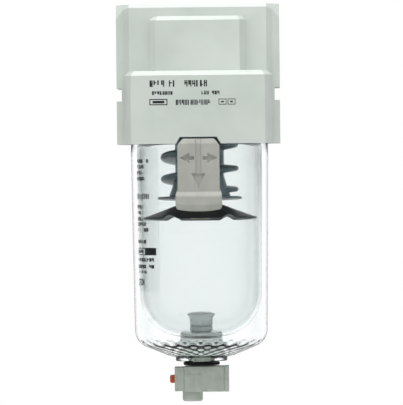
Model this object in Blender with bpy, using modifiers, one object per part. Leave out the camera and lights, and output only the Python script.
"""Modular compressed air filter, 30 size class.

The origin is the centre of the body's flat top face. +Z is up, +X runs from the inlet to the
outlet, and -Y is the front, where the lock button is. Sizes below are in millimetres.
"""

import math

import bmesh
import bpy
from mathutils import Matrix, Vector

MM = 0.001
GAP = 0.3                       # left between pieces that touch
SMOOTH_ANGLE = math.radians(40)

# Body
BODY_HALF_WIDTH = 26.5          # port face to centre
BODY_HEIGHT = 45.3
PORT_DEPTH = 14.0               # port axis below the top face
PORT_RADIUS = 5.8
PORT_REACH = 14.5               # how far a port is bored from its face
HOUSING_HALF_WIDTH = 24.0
HOUSING_HALF_DEPTH = 24.3
LEDGE_Z = -21.7                 # top of the lower housing
FLANGE_HALF_DEPTH = 16.5
FLANGE_FACE_HALF = 13.5         # half depth of the port face
GROOVE_TOP = -27.1
GROOVE_BOTTOM = -31.3
GROOVE_DEPTH = 1.7
BOSS_HALF_WIDTH = 15.9
BOSS_HALF_DEPTH = 20.3
BOSS_TOP = -4.0

# Hollows of the body
SKIRT_RADIUS = 23.0             # bore around the bowl guard
SKIRT_TOP = -31.0
SEAL_RADIUS = 21.0              # bore that the bowl's seal ring meets
CEILING_Z = -25.0
OUTLET_BORE = 4.6
INLET_PASSAGE_X = -13.4
INLET_PASSAGE_RADIUS = 3.6
BAYONET_RADIUS = 24.3
BAYONET_TOP = -35.4
BAYONET_BOTTOM = -39.0

# Bowl and guard: radii at the top and above the round bottom
GUARD_TOP = -33.9
GUARD_RADIUS = 22.4
GUARD_LOW_RADIUS = 21.7
GUARD_WALL = 1.2
GUARD_BOTTOM = -114.9
COLLAR_RADIUS = 8.4
COLLAR_BOTTOM = -116.2
BOWL_TOP = -26.2
BOWL_RADIUS = 20.6
BOWL_LOW_RADIUS = 20.0
BOWL_WALL = 1.3
BOWL_CORNER = 15.0
BOWL_BOTTOM = -108.9
LUG_HALF_WIDTH = 4.0
LABEL_EDGES = ((20.36, -93.2), (20.82, -46.5))    # radius and height of its lower and upper edge

# Lock button
BUTTON_TOP = -43.7
BUTTON_BOTTOM = -60.7
BUTTON_HALF_WIDTH = 6.8
BUTTON_FRONT = -25.6
BUTTON_BACK = -22.8
THUMB_BOTTOM = -67.1
THUMB_HALF_WIDTH = 7.55
THUMB_FRONT = -26.8
RAIL_TOP = -48.7
RAIL_BOTTOM = -59.5
SPRING_Y = -23.5

# Filtering insert
CORE_TOP = -27.2
FIN_RADIUS = 12.8
FIN_PITCH = 7.05
FIN_START = -42.6
FIN_TURNS = 2.5
FIN_ROOT = 2.4                  # thickness at the core
FIN_TIP = 1.1
PLATE_Z = -62.3
PLATE_RADIUS = 13.8
BAFFLE_RADIUS = 18.6
BAFFLE_RIM_Z = -68.6
ROD_RADIUS = 1.9

# Drain
DRAIN_AXIS_Z = -122.1
BLOCK_LEFT = -8.8
BLOCK_RIGHT = 8.9
BLOCK_HALF_HEIGHT = 4.15
BLOCK_HALF_DEPTH = 4.6
STEM_RADIUS = 3.0
NOZZLE_X = -3.0
NOZZLE_RADIUS = 3.3
NOZZLE_BOTTOM = -129.4
SPOOL_BORE = 2.3
SPOOL_RADIUS = 1.0

COLOURS = {
    "die_cast": ((0.62, 0.66, 0.63), 0.45, 0.0),
    "clear": ((0.86, 0.90, 0.90), 0.10, 0.0),
    "warm_grey": ((0.42, 0.43, 0.40), 0.50, 0.0),
    "slate": ((0.16, 0.21, 0.23), 0.50, 0.0),
    "black": ((0.02, 0.02, 0.02), 0.60, 0.0),
    "grey": ((0.36, 0.41, 0.37), 0.50, 0.0),
    "pale_grey": ((0.62, 0.68, 0.70), 0.40, 0.0),
    "silicone": ((0.70, 0.73, 0.73), 0.50, 0.0),
    "orange": ((0.75, 0.14, 0.03), 0.40, 0.0),
    "element": ((0.82, 0.80, 0.72), 0.90, 0.0),
    "steel": ((0.60, 0.60, 0.60), 0.30, 1.0),
    "brass": ((0.70, 0.55, 0.25), 0.30, 1.0),
    "label": ((0.85, 0.85, 0.82), 0.60, 0.0),
}


def clear_scene():
    for item in list(bpy.data.objects):
        bpy.data.objects.remove(item, do_unlink=True)


def new_collection(name):
    group = bpy.data.collections.new(name)
    bpy.context.scene.collection.children.link(group)
    return group


def finish_of(name):
    """One Principled material for each colour name."""
    material = bpy.data.materials.get(name)
    if material is None:
        colour, roughness, metallic = COLOURS[name]
        material = bpy.data.materials.new(name)
        material.use_nodes = True
        shader = material.node_tree.nodes["Principled BSDF"]
        shader.inputs["Base Color"].default_value = (*colour, 1.0)
        shader.inputs["Roughness"].default_value = roughness
        shader.inputs["Metallic"].default_value = metallic
    return material


def place(name, mesh, finish):
    """Links a mesh as a part, or as a hidden cutter when it has no finish."""
    item = bpy.data.objects.new(name, mesh)
    if finish is None:
        CUTTERS.objects.link(item)
        item.hide_render = True
        item.display_type = "WIRE"
    else:
        PARTS.objects.link(item)
        mesh.materials.append(finish_of(finish))
    return item


def to_mesh(bm, name):
    """Makes a mesh that is smooth across its round faces and sharp at its corners."""
    bmesh.ops.recalc_face_normals(bm, faces=bm.faces)
    mesh = bpy.data.meshes.new(name)
    bm.to_mesh(mesh)
    bm.free()
    if mesh.polygons:
        mesh.shade_smooth()
        mesh.set_sharp_from_angle(angle=SMOOTH_ANGLE)
    return mesh


def revolve(bm, profile, closed, steps):
    """Adds the faces of a profile of (radius, height) points turned once around Z."""
    rings = []
    for i in range(steps):
        c, s = math.cos(2 * math.pi * i / steps), math.sin(2 * math.pi * i / steps)
        rings.append([bm.verts.new((r * c * MM, r * s * MM, z * MM)) for r, z in profile])
    count = len(profile)
    for before, after in zip(rings, rings[1:] + rings[:1]):
        for k in range(count if closed else count - 1):
            n = (k + 1) % count
            if profile[k][0] > 0 or profile[n][0] > 0:
                bm.faces.new((before[k], before[n], after[n], after[k]))
    bmesh.ops.remove_doubles(bm, verts=bm.verts, dist=0.000001)


def turned(name, profile, finish, steps=36, axis="Z", centre=(0, 0, 0)):
    """A turned solid. The profile lists (radius, height) down the outer side.

    A profile that ends off the axis is closed back to its first point.
    """
    bm = bmesh.new()
    revolve(bm, profile, profile[0][0] > 0 or profile[-1][0] > 0, steps)
    item = place(name, to_mesh(bm, name), finish)
    item.location = Vector(centre) * MM
    if axis == "X":
        item.rotation_euler = (0.0, math.pi / 2, 0.0)
    return item


def box(name, low, high, finish=None, chamfer=0.0, segments=1):
    """A block between two corners, with all of its edges bevelled if asked."""
    bm = bmesh.new()
    size = [(b - a) * MM for a, b in zip(low, high)]
    centre = [(a + b) / 2 * MM for a, b in zip(low, high)]
    matrix = Matrix.Translation(centre) @ Matrix.Diagonal((*size, 1.0))
    bmesh.ops.create_cube(bm, size=1.0, matrix=matrix)
    item = place(name, to_mesh(bm, name), finish)
    if chamfer:
        bevel = item.modifiers.new("edges", "BEVEL")
        bevel.width = chamfer * MM
        bevel.segments = segments
    return item


def rod(name, radius, start, end, finish=None, steps=24):
    """A cylinder between two points."""
    first, last = Vector(start) * MM, Vector(end) * MM
    run = last - first
    turn = run.to_track_quat("Z", "Y").to_matrix().to_4x4()
    matrix = Matrix.Translation((first + last) / 2) @ turn
    bm = bmesh.new()
    bmesh.ops.create_cone(
        bm, cap_ends=True, segments=steps, radius1=radius * MM, radius2=radius * MM,
        depth=run.length, matrix=matrix,
    )
    return place(name, to_mesh(bm, name), finish)


def prism(name, outline, low, high, finish=None, chamfer=0.0, only_long=False):
    """An outline in X and Y raised from one height to another.

    Its top edge is chamfered, or only the two long stretches at front and back.
    """
    bm = bmesh.new()
    corners = [bm.verts.new((x * MM, y * MM, low * MM)) for x, y in outline]
    face = bm.faces.new(corners)
    raised = bmesh.ops.extrude_face_region(bm, geom=[face])
    moved = [part for part in raised["geom"] if isinstance(part, bmesh.types.BMVert)]
    bmesh.ops.translate(bm, verts=moved, vec=(0.0, 0.0, (high - low) * MM))
    if chamfer:
        bm.edges.ensure_lookup_table()
        top = [e for e in bm.edges if all(v.co.z > (high - 0.01) * MM for v in e.verts)]
        if only_long:
            top = [e for e in top if e.calc_length() > 35 * MM]
        bmesh.ops.bevel(
            bm, geom=top, offset=chamfer * MM, offset_type="OFFSET", segments=1,
            affect="EDGES", clamp_overlap=True,
        )
    return place(name, to_mesh(bm, name), finish)


def ring(name, radius, thickness, centre, finish, axis="Z", steps=16):
    """A rubber ring with a round section."""
    bm = bmesh.new()
    turns = [2 * math.pi * i / 8 for i in range(8)]
    section = [(radius + thickness * math.cos(t), thickness * math.sin(t)) for t in turns]
    revolve(bm, section, True, steps)
    if axis == "X":
        bmesh.ops.rotate(
            bm, verts=bm.verts, cent=(0, 0, 0), matrix=Matrix.Rotation(math.pi / 2, 3, "Y"),
        )
    item = place(name, to_mesh(bm, name), finish)
    item.location = Vector(centre) * MM
    return item


def coil(name, radius, wire, turns, start, length, finish, axis="Z"):
    """A compression spring: one round wire that climbs by a constant pitch."""
    steps_per_turn = 9
    count = int(turns * steps_per_turn) + 1
    curve = bpy.data.curves.new(name, "CURVE")
    curve.dimensions = "3D"
    curve.bevel_depth = wire / 2 * MM
    curve.bevel_resolution = 1
    curve.use_fill_caps = True
    spline = curve.splines.new("POLY")
    spline.points.add(count - 1)
    for i, point in enumerate(spline.points):
        angle = 2 * math.pi * i / steps_per_turn
        along = length * i / (count - 1)
        across = (radius * math.cos(angle), radius * math.sin(angle))
        spot = (*across, along) if axis == "Z" else (along, *across)
        point.co = (*[(a + b) * MM for a, b in zip(start, spot)], 1.0)
    item = bpy.data.objects.new(name, curve)
    PARTS.objects.link(item)
    curve.materials.append(finish_of(finish))
    return item


def cut(target, *cutters):
    for cutter in cutters:
        boolean(target, cutter, "DIFFERENCE")


def join(target, *helpers):
    for helper in helpers:
        boolean(target, helper, "UNION")


def boolean(target, other, operation):
    step = target.modifiers.new(other.name, "BOOLEAN")
    step.operation = operation
    step.solver = "EXACT"
    step.object = other


def corner_tool(name, first, second, third):
    """A large block whose one face holds three points. It lies on the side away from the centre."""
    points = [Vector(p) * MM for p in (first, second, third)]
    normal = (points[1] - points[0]).cross(points[2] - points[0]).normalized()
    middle = (points[0] + points[1] + points[2]) / 3
    if normal.dot(middle - Vector((0, 0, -0.02))) < 0:
        normal = -normal
    size = 0.02
    turn = normal.to_track_quat("Z", "Y").to_matrix().to_4x4()
    matrix = Matrix.Translation(middle + normal * size / 2) @ turn
    bm = bmesh.new()
    bmesh.ops.create_cube(bm, size=size, matrix=matrix)
    return place(name, to_mesh(bm, name), None)


def four_way(points):
    """Mirrors a run of outline points from the +X -Y quarter into a whole outline."""
    quarter = list(points)
    right = quarter + [(x, -y) for x, y in reversed(quarter)]
    return right + [(-x, y) for x, y in reversed(right)]


# Body

def build_body():
    w, face = BODY_HALF_WIDTH, FLANGE_FACE_HALF
    flange = four_way([(22.2, -FLANGE_HALF_DEPTH), (24.2, -face - 0.6), (w, -face)])
    housing = four_way([(21.6, -HOUSING_HALF_DEPTH), (HOUSING_HALF_WIDTH, -18.0)])
    boss = four_way([(BOSS_HALF_WIDTH - 2.3, -BOSS_HALF_DEPTH), (BOSS_HALF_WIDTH, -16.0)])
    body = prism("body", flange, -BODY_HEIGHT, 0.0, "die_cast", 1.1, True)
    join(body, prism("housing_block", housing, -BODY_HEIGHT, LEDGE_Z, None, 1.5))
    join(body, boss_block(boss))
    cut_corners(body)
    cut_grooves(body)
    cut_bores(body)
    cut_bayonet(body)
    cut(body, lock_notch())
    return body


def boss_block(outline):
    """The raised pad on the front and back, with its two upper corners cut off."""
    block = prism("boss_block", outline, LEDGE_Z - 1.0, BOSS_TOP, None, 1.3)
    for side in (-1, 1):
        cut(block, corner_tool(
            f"boss_corner_{side}", (side * BOSS_HALF_WIDTH, 0, BOSS_TOP - 2.2),
            (side * BOSS_HALF_WIDTH, 1, BOSS_TOP - 2.2), (side * (BOSS_HALF_WIDTH - 2.3), 0, BOSS_TOP),
        ))
    return block


def cut_corners(body):
    """The slanted triangle at each of the four top corners."""
    w, face = BODY_HALF_WIDTH, FLANGE_FACE_HALF
    for side in (-1, 1):
        for end in (-1, 1):
            cut(body, corner_tool(
                f"top_corner_{side}_{end}", (side * (w - 4.3), end * FLANGE_HALF_DEPTH, -1.0),
                (side * w, end * face, -4.8), (side * w, end * (face - 4.5), -0.3),
            ))


def cut_grooves(body):
    """The clamp groove across each side face."""
    inner, outer = BODY_HALF_WIDTH - GROOVE_DEPTH, BODY_HALF_WIDTH + 1
    for side in (-1, 1):
        x = sorted((side * inner, side * outer))
        cut(body, box(
            f"side_groove_{side}", (x[0], -30, GROOVE_BOTTOM), (x[1], 30, GROOVE_TOP),
        ))


def cut_bores(body):
    """The stepped bore for bowl and guard, the two ports and the passages between them."""
    cut(body, turned("bowl_bore", [
        (0, CEILING_Z), (SEAL_RADIUS, CEILING_Z), (SEAL_RADIUS, SKIRT_TOP),
        (SKIRT_RADIUS, SKIRT_TOP), (SKIRT_RADIUS, -BODY_HEIGHT - 1), (0, -BODY_HEIGHT - 1),
    ], None, steps=40))
    for side in (-1, 1):
        face = side * BODY_HALF_WIDTH
        profile = [
            (0, PORT_REACH), (PORT_RADIUS, PORT_REACH), (PORT_RADIUS, 1.0),
            (PORT_RADIUS + 1.2, -0.2), (0, -0.2),
        ]
        port = turned(f"port_{side}", profile, None, steps=28, centre=(face, 0, -PORT_DEPTH))
        port.rotation_euler = (0.0, -side * math.pi / 2, 0.0)
        cut(body, port)
    low = CEILING_Z - 1
    cut(body, rod(
        "inlet_passage", INLET_PASSAGE_RADIUS, (INLET_PASSAGE_X, 0, -PORT_DEPTH),
        (INLET_PASSAGE_X, 0, low),
    ))
    cut(body, rod("outlet_passage", OUTLET_BORE, (0, 0, -PORT_DEPTH + 3.0), (0, 0, low)))
    cut(body, rod(
        "outlet_cross", OUTLET_BORE - 0.4, (-0.5, 0, -PORT_DEPTH),
        (BODY_HALF_WIDTH - PORT_REACH + 1, 0, -PORT_DEPTH),
    ))
    cut(body, rod("rod_hole", ROD_RADIUS + GAP, (0, 0, -4.0), (0, 0, -PORT_DEPTH), steps=16))


def cut_bayonet(body):
    """Two pockets that hold the guard's lugs, and four slots that let them in."""
    for side in (-1, 1):
        pocket = turned(f"bayonet_pocket_{side}", [
            (BAYONET_RADIUS, BAYONET_TOP), (BAYONET_RADIUS, BAYONET_BOTTOM),
            (SKIRT_RADIUS - 1, BAYONET_BOTTOM), (SKIRT_RADIUS - 1, BAYONET_TOP),
        ], None, steps=40)
        x = sorted((side * 14.0, side * 30.0))
        keep = box(f"pocket_limit_{side}", (x[0], -19, BAYONET_BOTTOM - 1), (x[1], 19, BAYONET_TOP + 1))
        boolean(pocket, keep, "INTERSECT")
        cut(body, pocket)
    for index in range(4):
        angle = math.radians(45 + 90 * index)
        slot = box(
            f"bayonet_slot_{index}", (19, -LUG_HALF_WIDTH - 0.6, -BODY_HEIGHT - 1),
            (BAYONET_RADIUS, LUG_HALF_WIDTH + 0.6, BAYONET_BOTTOM + 0.5),
        )
        slot.rotation_euler = (0.0, 0.0, angle)
        cut(body, slot)


def lock_notch():
    """The notch with slanted sides in the front of the skirt, which the lock button enters."""
    top, bottom = BUTTON_TOP + 0.6, -BODY_HEIGHT - 1
    bm = bmesh.new()
    outline = [(-5.95, top), (5.95, top), (7.3, BUTTON_TOP - 1.7), (7.3, bottom),
               (-7.3, bottom), (-7.3, BUTTON_TOP - 1.7)]
    face = bm.faces.new([bm.verts.new((x * MM, -0.030, z * MM)) for x, z in outline])
    deep = bmesh.ops.extrude_face_region(bm, geom=[face])
    moved = [part for part in deep["geom"] if isinstance(part, bmesh.types.BMVert)]
    bmesh.ops.translate(bm, verts=moved, vec=(0.0, 0.011, 0.0))
    return place("lock_notch", to_mesh(bm, "lock_notch"), None)


# Bowl, guard and label

def arc(centre, radius, start, end, count):
    """Points along an arc in (radius, height), with angles in degrees."""
    points = []
    for i in range(count + 1):
        angle = math.radians(start + (end - start) * i / count)
        points.append((
            centre[0] + radius * math.cos(angle), centre[1] + radius * math.sin(angle),
        ))
    return points


def build_bowl():
    wall, corner = BOWL_WALL, BOWL_CORNER
    low = BOWL_LOW_RADIUS
    centre = (low - corner, BOWL_BOTTOM + corner)
    outside = [
        (BOWL_RADIUS, BOWL_TOP), (BOWL_RADIUS, -27.6), (18.7, -27.6), (18.7, -30.2),
        (BOWL_RADIUS, -30.2), (BOWL_RADIUS, -31.6), (22.4, -31.6), (22.4, -33.5),
        (BOWL_RADIUS, -33.5), *arc(centre, corner, 0, -90, 7),
    ]
    inside = arc(centre, corner - wall - 0.2, -90, 0, 7)
    neck = [(BOWL_RADIUS - wall, -36.0), (17.6, -34.0), (17.6, BOWL_TOP)]
    hole = [(STEM_RADIUS + GAP, BOWL_BOTTOM), (STEM_RADIUS + GAP, BOWL_BOTTOM + wall + 0.2)]
    return turned("bowl", outside + hole + inside + neck, "clear")


def build_guard():
    wall = GUARD_WALL
    low = GUARD_LOW_RADIUS
    bend = 6.0
    corner = arc((low - bend, -105.9), bend, -4, -60, 4)
    inner_corner = arc((low - bend, -105.9), bend - wall, -60, -4, 4)
    outside = [
        (GUARD_RADIUS, GUARD_TOP), (GUARD_RADIUS, -50.0), *corner, (10.8, -114.5),
        (COLLAR_RADIUS, GUARD_BOTTOM), (COLLAR_RADIUS, COLLAR_BOTTOM),
    ]
    hole = STEM_RADIUS + GAP
    inside = [
        (hole, COLLAR_BOTTOM), (hole, GUARD_BOTTOM + 1.5), (9.6, GUARD_BOTTOM + 1.5),
        *inner_corner, (GUARD_RADIUS - wall, -50.0), (GUARD_RADIUS - wall, GUARD_TOP),
    ]
    guard = turned("bowl_guard", outside + inside, "clear")
    for side in (-1, 1):
        x = sorted((side * 21.8, side * (BAYONET_RADIUS - 0.4)))
        join(guard, box(
            f"guard_lug_{side}", (x[0], -LUG_HALF_WIDTH, BAYONET_BOTTOM + 0.5),
            (x[1], LUG_HALF_WIDTH, BAYONET_TOP - 0.4),
        ))
        y_front = BUTTON_FRONT + 1.3
        x = sorted((side * 3.2, side * 5.2))
        join(guard, box(
            f"guard_rail_{side}", (x[0], y_front, RAIL_BOTTOM), (x[1], -21.7, RAIL_TOP),
        ))
    join(guard, box(
        "guard_stop", (-4.0, BUTTON_FRONT + 1.3, RAIL_BOTTOM), (4.0, -21.7, RAIL_BOTTOM + 1.0),
    ))
    return guard


def build_label():
    """A thin sticker that follows the bowl's left front."""
    bm = bmesh.new()
    columns = 8
    start, end = math.radians(191), math.radians(231)
    rows = []
    for radius, z in LABEL_EDGES:
        rows.append([
            bm.verts.new((
                radius * math.cos(start + (end - start) * i / columns) * MM,
                radius * math.sin(start + (end - start) * i / columns) * MM, z * MM,
            ))
            for i in range(columns + 1)
        ])
    for i in range(columns):
        bm.faces.new((rows[0][i], rows[0][i + 1], rows[1][i + 1], rows[1][i]))
    item = place("caution_label", to_mesh(bm, "caution_label"), "label")
    sheet = item.modifiers.new("thickness", "SOLIDIFY")
    sheet.thickness = 0.08 * MM
    sheet.offset = 0.0
    return item


# Lock button

def build_lock_button():
    """A thumb slide: a hollow plate over the guard's rails, with a ledge below."""
    half = BUTTON_HALF_WIDTH
    outline = [
        (-5.4, BUTTON_TOP), (5.4, BUTTON_TOP), (half, BUTTON_TOP - 2.2), (half, BUTTON_BOTTOM),
        (-half, BUTTON_BOTTOM), (-half, BUTTON_TOP - 2.2),
    ]
    bm = bmesh.new()
    face = bm.faces.new([bm.verts.new((x * MM, BUTTON_FRONT * MM, z * MM)) for x, z in outline])
    deep = bmesh.ops.extrude_face_region(bm, geom=[face])
    moved = [part for part in deep["geom"] if isinstance(part, bmesh.types.BMVert)]
    bmesh.ops.translate(bm, verts=moved, vec=(0.0, (BUTTON_BACK - BUTTON_FRONT) * MM, 0.0))
    front = [e for e in bm.edges if all(v.co.y < (BUTTON_FRONT + 0.01) * MM for v in e.verts)]
    bmesh.ops.bevel(bm, geom=front, offset=0.5 * MM, segments=1, affect="EDGES")
    button = place("lock_button", to_mesh(bm, "lock_button"), "warm_grey")
    join(button, thumb_ledge())
    cut(button, box(
        "button_hollow", (-5.6, BUTTON_FRONT + 1.0, BUTTON_BOTTOM + 0.6),
        (5.6, BUTTON_BACK + 1, BUTTON_TOP - 1.2),
    ))
    join(button, box(
        "button_rib", (-2.6, BUTTON_FRONT + 0.8, RAIL_TOP - 1.1), (2.6, BUTTON_BACK, RAIL_TOP),
    ))
    for piece in arrow_tools():
        cut(button, piece)
    return button


def thumb_ledge():
    """The ledge for the thumb, with bevels above and below."""
    return box(
        "thumb_ledge", (-THUMB_HALF_WIDTH, THUMB_FRONT, THUMB_BOTTOM),
        (THUMB_HALF_WIDTH, BUTTON_BACK, BUTTON_BOTTOM + 0.4), None, 1.2,
    )


def arrow_tools():
    """Cutters for the sunk arrows: one down the middle and one to each side."""
    deep = BUTTON_FRONT + 0.35
    shapes = {
        "arrow_shaft": [(-0.8, BUTTON_TOP + 1), (0.8, BUTTON_TOP + 1), (0.8, -54.8), (-0.8, -54.8)],
        "arrow_head": [(-1.95, -54.9), (1.95, -54.9), (0.0, -59.4)],
        "arrow_left": [(-1.5, -49.2), (-3.0, -49.2), (-3.0, -48.1), (-6.0, -49.7),
                       (-3.0, -51.4), (-3.0, -50.3), (-1.5, -50.3)],
        "arrow_right": [(1.5, -49.2), (3.0, -49.2), (3.0, -48.1), (6.0, -49.7),
                        (3.0, -51.4), (3.0, -50.3), (1.5, -50.3)],
    }
    for name, outline in shapes.items():
        bm = bmesh.new()
        face = bm.faces.new([bm.verts.new((x * MM, -0.030, z * MM)) for x, z in outline])
        raised = bmesh.ops.extrude_face_region(bm, geom=[face])
        moved = [part for part in raised["geom"] if isinstance(part, bmesh.types.BMVert)]
        bmesh.ops.translate(bm, verts=moved, vec=(0.0, deep * MM + 0.030, 0.0))
        yield place(name, to_mesh(bm, name), None)


# Filtering insert

def helix_fin(name, turns=FIN_TURNS, steps_per_turn=20):
    """A helical fin: an upright section carried around the axis while it sinks by one pitch a turn."""
    count = int(turns * steps_per_turn)
    bm = bmesh.new()
    root, tip = FIN_ROOT / 2, FIN_TIP / 2
    edge = FIN_RADIUS - 0.3
    section = [(7.2, root), (edge, tip), (FIN_RADIUS, 0), (edge, -tip), (7.2, -root)]
    rings = []
    for i in range(count + 1):
        angle = math.radians(140) - 2 * math.pi * i / steps_per_turn
        sink = FIN_START - FIN_PITCH * i / steps_per_turn
        rings.append([
            bm.verts.new((r * math.cos(angle) * MM, r * math.sin(angle) * MM, (sink + dz) * MM))
            for r, dz in section
        ])
    for before, after in zip(rings, rings[1:]):
        for k in range(len(section)):
            n = (k + 1) % len(section)
            bm.faces.new((before[k], before[n], after[n], after[k]))
    bm.faces.new(rings[0])
    bm.faces.new(rings[-1])
    return place(name, to_mesh(bm, name), None)


def build_deflector():
    """A bell-shaped core with a pierced top flange and one helical fin."""
    core = turned("swirl_deflector", [
        (7.6, CORE_TOP), (7.6, -39.0), (18.9, -39.0), (18.9, -40.6), (8.0, -40.6), (8.0, -55.0),
        (9.0, -58.4), (10.1, -61.6), (9.2, -61.6), (8.1, -58.4), (7.1, -55.0), (6.6, -40.0),
        (6.6, CORE_TOP),
    ], "slate", steps=28)
    join(core, helix_fin("swirl_fin"))
    for index in range(6):
        angle = math.radians(30 + 60 * index)
        x, y = 10.6 * math.cos(angle), 10.6 * math.sin(angle)
        cut(core, rod(f"swirl_inlet_{index}", 1.7, (x, y, -38.0), (x, y, -41.4), steps=10))
    return core


def build_insert():
    """Element, its gaskets and plate, the baffle and the rod that carries them."""
    washer("deflector_gasket", 7.7, 6.2, CORE_TOP + GAP, CEILING_Z - GAP, "black")
    washer("element_gasket_upper", 5.7, 3.4, -27.0, CEILING_Z - GAP, "black")
    washer("filter_element", 5.9, 3.4, -60.45, -27.3, "element", 28)
    washer("element_gasket_lower", 5.7, 3.4, -61.65, -60.75, "black")
    washer("element_plate", PLATE_RADIUS, ROD_RADIUS + GAP, PLATE_Z - 0.35, PLATE_Z + 0.35, "slate")
    turned("tie_rod", [
        (0, -4.4), (ROD_RADIUS, -4.4), (ROD_RADIUS, -69.3), (0, -69.3),
    ], "brass", steps=20)
    build_baffle()
    hex_nut("baffle_nut", 3.9, -69.1, -67.2, ROD_RADIUS + GAP, "brass")


def hex_nut(name, radius, low, high, bore, finish):
    """A six-sided nut, with the radius taken to its corners."""
    nut = rod(name, radius, (0, 0, low), (0, 0, high), finish, steps=6)
    bevel = nut.modifiers.new("edges", "BEVEL")
    bevel.width = 0.3 * MM
    bevel.segments = 1
    cut(nut, rod(f"{name}_bore", bore, (0, 0, low - 1), (0, 0, high + 1)))
    return nut


def washer(name, outer, inner, low, high, finish, steps=24):
    return turned(
        name, [(outer, high), (outer, low), (inner, low), (inner, high)], finish, steps=steps,
    )


def build_baffle():
    """A black umbrella with a hub around the rod and a rim with two pairs of notches."""
    rim = BAFFLE_RADIUS
    baffle = turned("baffle", [
        (3.4, -62.95), (5.6, -64.0), (rim, BAFFLE_RIM_Z), (rim, BAFFLE_RIM_Z - 0.8),
        (rim - 0.7, BAFFLE_RIM_Z - 0.8), (rim - 1.0, BAFFLE_RIM_Z - 0.2), (6.0, -65.3), (4.4, -65.3),
        (4.4, -66.9), (ROD_RADIUS + GAP, -66.9), (ROD_RADIUS + GAP, -62.95),
    ], "black", steps=32)
    for index in (1, 2, 4, 5):
        angle = math.radians(60 * index)
        notch = box(f"baffle_notch_{index}", (17.2, -2.4, -72.0), (20.0, 2.4, BAFFLE_RIM_Z - 0.2))
        notch.rotation_euler = (0.0, 0.0, angle)
        cut(baffle, notch)
    return baffle


# Drain

def build_drain():
    hole = STEM_RADIUS + GAP
    turned("drain_intake", [
        (1.6, -100.4), (3.6, -100.4), (4.6, -100.9), (4.6, -101.4), (4.0, -102.0), (4.0, -104.8),
        (hole, -104.8), (hole, -102.6), (1.6, -102.6),
    ], "pale_grey", steps=28)
    hex_nut("drain_nut", 4.3, -106.9, -105.1, hole, "pale_grey")
    washer("drain_gasket", 7.0, hole, -110.1, -109.2, "silicone")
    turned("drain_collar", [
        (7.2, -110.4), (7.8, -111.0), (7.8, -113.1), (hole, -113.1), (hole, -110.4),
    ], "pale_grey", steps=32)
    washer("drain_seal_ring", 5.95, hole, -117.6, COLLAR_BOTTOM - GAP, "black")
    build_drain_body()
    build_drain_valve()


def build_drain_body():
    """The horizontal valve block with its hollow stem, bored for the spool and the nozzle."""
    z, half = DRAIN_AXIS_Z, BLOCK_HALF_HEIGHT
    body = box(
        "drain_body", (BLOCK_LEFT + 3.1, -BLOCK_HALF_DEPTH, z - half),
        (BLOCK_RIGHT - 1.5, BLOCK_HALF_DEPTH, z + half), "grey",
    )
    rounding = body.modifiers.new("rounding", "BEVEL")
    rounding.width = 0.9 * MM
    rounding.segments = 2
    join(body, rod("drain_stem", STEM_RADIUS, (0, 0, z), (0, 0, -103.0), steps=28))
    cut(body, rod("stem_bore", 1.2, (0, 0, z), (0, 0, -102.0), steps=16))
    cut(body, rod("spool_bore", SPOOL_BORE, (-20, 0, z), (20, 0, z), steps=20))
    cut(body, rod("nozzle_bore", 2.3, (NOZZLE_X, 0, z), (NOZZLE_X, 0, z - 8), steps=20))
    return body


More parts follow.
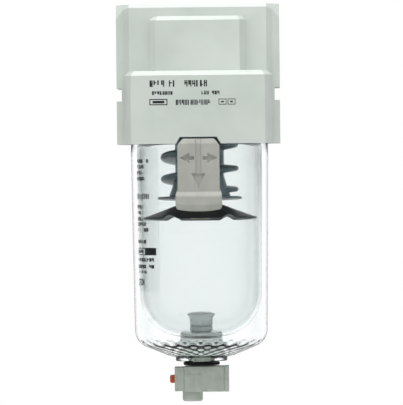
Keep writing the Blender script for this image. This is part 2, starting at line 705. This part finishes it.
def build_drain_valve():
    z = DRAIN_AXIS_Z
    left, right = BLOCK_LEFT + 3.1, BLOCK_RIGHT - 1.5
    block_end("drain_gland", BLOCK_LEFT, left - GAP, 0.25, 1.35 + 0.15)
    block_end("drain_end_cap", right + GAP, BLOCK_RIGHT, 0.0)
    ring("gland_o_ring", 1.75, 0.25, (left + 0.4, 0, z), "black", "X")
    turned("drain_button", axial(-10.4, [
        (0, 0), (1.15, 0.0), (1.35, 0.25), (1.35, 2.9), (0, 2.9),
    ]), "orange", steps=24, axis="X", centre=(0, 0, z))
    spool = [
        (0, 0), (SPOOL_RADIUS, 0), (SPOOL_RADIUS, 3.7), (1.9, 3.7), (1.9, 4.3), (SPOOL_RADIUS, 4.3),
        (SPOOL_RADIUS, 9.0), (1.9, 9.0), (1.9, 10.6), (0, 10.6),
    ]
    turned("drain_spool", axial(-7.2, spool), "brass", steps=20, axis="X", centre=(0, 0, z))
    ring("spool_o_ring_outer", 1.65, 0.30, (-4.3, 0, z), "black", "X")
    ring("spool_o_ring_inner", 1.65, 0.30, (1.2, 0, z), "black", "X")
    coil("drain_spring", 1.45, 0.3, 4, (3.9, 0, z), 3.3, "steel", "X")
    turned("drain_nozzle", [
        (2.0, z - 2.6), (2.0, z - BLOCK_HALF_HEIGHT - GAP), (NOZZLE_RADIUS, z - BLOCK_HALF_HEIGHT - GAP),
        (NOZZLE_RADIUS, NOZZLE_BOTTOM + 0.5), (NOZZLE_RADIUS - 0.5, NOZZLE_BOTTOM),
        (1.2, NOZZLE_BOTTOM), (1.2, z - 2.6),
    ], "grey", steps=28, centre=(NOZZLE_X, 0, 0))


def axial(start, profile):
    """Turns (radius, distance) into a profile along X, measured from a starting place.

    The turned solid's own Z points along X, so its profile runs from the far end back.
    """
    return [(r, start + along) for r, along in reversed(profile)]


def block_end(name, low, high, inset, hole=None):
    """A short end piece of the block, set in a little, with a hole if the button passes it."""
    z, half, depth = DRAIN_AXIS_Z, BLOCK_HALF_HEIGHT - inset, BLOCK_HALF_DEPTH - inset
    item = box(name, (low, -depth, z - half), (high, depth, z + half), "grey", 0.5)
    if hole:
        cut(item, rod(f"{name}_hole", hole, (low - 1, 0, z), (high + 1, 0, z), steps=24))
    return item


def main():
    build_body()
    ring("bowl_o_ring", 19.85, 0.85, (0, 0, -28.9), "black", steps=30)
    build_bowl()
    build_guard()
    build_label()
    build_lock_button()
    coil("lock_spring", 0.75, 0.3, 6, (0, SPRING_Y, RAIL_BOTTOM + 1.45), 7.6, "steel")
    build_deflector()
    build_insert()
    build_drain()


clear_scene()
PARTS = new_collection("compressed_air_filter")
CUTTERS = new_collection("cutters")
main()
